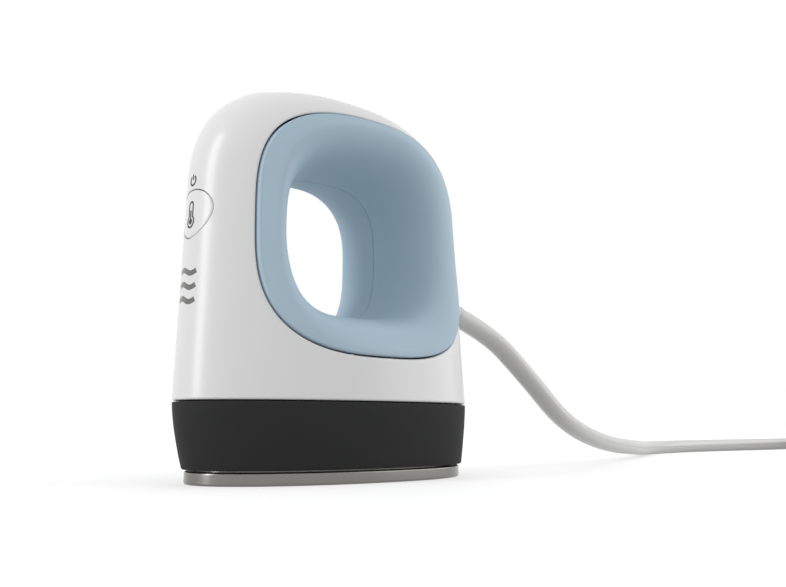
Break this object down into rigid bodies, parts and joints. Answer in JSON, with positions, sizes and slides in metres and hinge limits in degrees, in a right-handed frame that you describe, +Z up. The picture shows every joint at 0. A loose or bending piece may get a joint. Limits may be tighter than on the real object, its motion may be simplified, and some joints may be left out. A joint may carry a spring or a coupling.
{
  "type": "mini handheld heat press",
  "caption": "Palm-sized heat press: ring-shaped handle with a press button and wave lights over a small flat hot plate, on a coiled mains cord.",
  "frame": {"origin": "middle of the outer box of the press without its cord, on the surface that the hot face rests on", "axes": "+Z up, -X towards the nose with the button and lights, +X towards the rear where the cord leaves, Y across; the hand hole runs along Y"},
  "size_m": [0.4876, 0.1207, 0.1055],
  "materials": {
    "shell_white": "satin moulded plastic",
    "button_white": "satin moulded plastic",
    "grip_blue": "soft-touch, fine matt grain",
    "skirt_charcoal": "matt moulded plastic",
    "plate_metal": "ceramic-coated, fine satin",
    "element_steel": "drawn steel sheath",
    "ceramic": "unglazed ceramic",
    "fuse_metal": "plated can",
    "sheet_steel": "stamped sheet",
    "screw_steel": "zinc plated",
    "fibre_pad": "ceramic fibre felt",
    "inner_plastic": "moulded plastic",
    "component_black": "moulded plastic",
    "lens_grey": "smoked lens",
    "led_clear": "clear resin",
    "board_green": "solder mask",
    "terminal_green": "moulded plastic",
    "capacitor_yellow": "moulded plastic",
    "lead_white": "silicone insulation",
    "lead_brown": "insulation",
    "cord_sheath": "smooth satin sheath",
    "tie_strap": "woven hook strap",
    "plug_white": "moulded plastic",
    "pin_nickel": "nickel plated"
  },
  "bodies": {
    "root": {"board_capacitors": "capacitor_yellow", "board_screws": "screw_steel", "case_screws": "screw_steel", "circuit_board": "board_green", "clip_screw": "screw_steel", "control_chip": "component_black", "cord_clamp": "inner_plastic", "cord_clamp_screws": "screw_steel", "cord_coil": "cord_sheath", "cord_tie": "tie_strap", "fuse_leads": "lead_white", "grip_dowels": "inner_plastic", "grip_left": "grip_blue", "grip_right": "grip_blue", "heat_plate": "plate_metal", "heat_shield": "sheet_steel", "heater_leads": "lead_white", "heating_element": "element_steel", "indicator_leds": "led_clear", "insulation_pad": "fibre_pad", "light_shroud": "inner_plastic", "main_shell": "shell_white", "mains_leads": "lead_brown", "plate_screws": "screw_steel", "plate_standoffs": "ceramic", "plug_body": "plug_white", "plug_lead": "cord_sheath", "plug_pins": "pin_nickel", "power_cord": "cord_sheath", "power_relay": "component_black", "sensor_clip": "sheet_steel", "sensor_leads": "lead_white", "sensor_socket": "ceramic", "skirt": "skirt_charcoal", "strain_relief": "cord_sheath", "tact_switch": "component_black", "temperature_sensor": "ceramic", "terminal_block": "terminal_green", "thermal_fuse": "fuse_metal", "wave_lens": "lens_grey"},
    "button": {"power_button": "button_white", "switch_plunger": "component_black"}
  },
  "joints": [
    {"name": "button_press", "type": "slide", "parent": "root", "child": "button", "axis": [1, 0, 0], "range_m": [0, 0.0005], "stiffness_N_per_m": 1000}
  ]
}
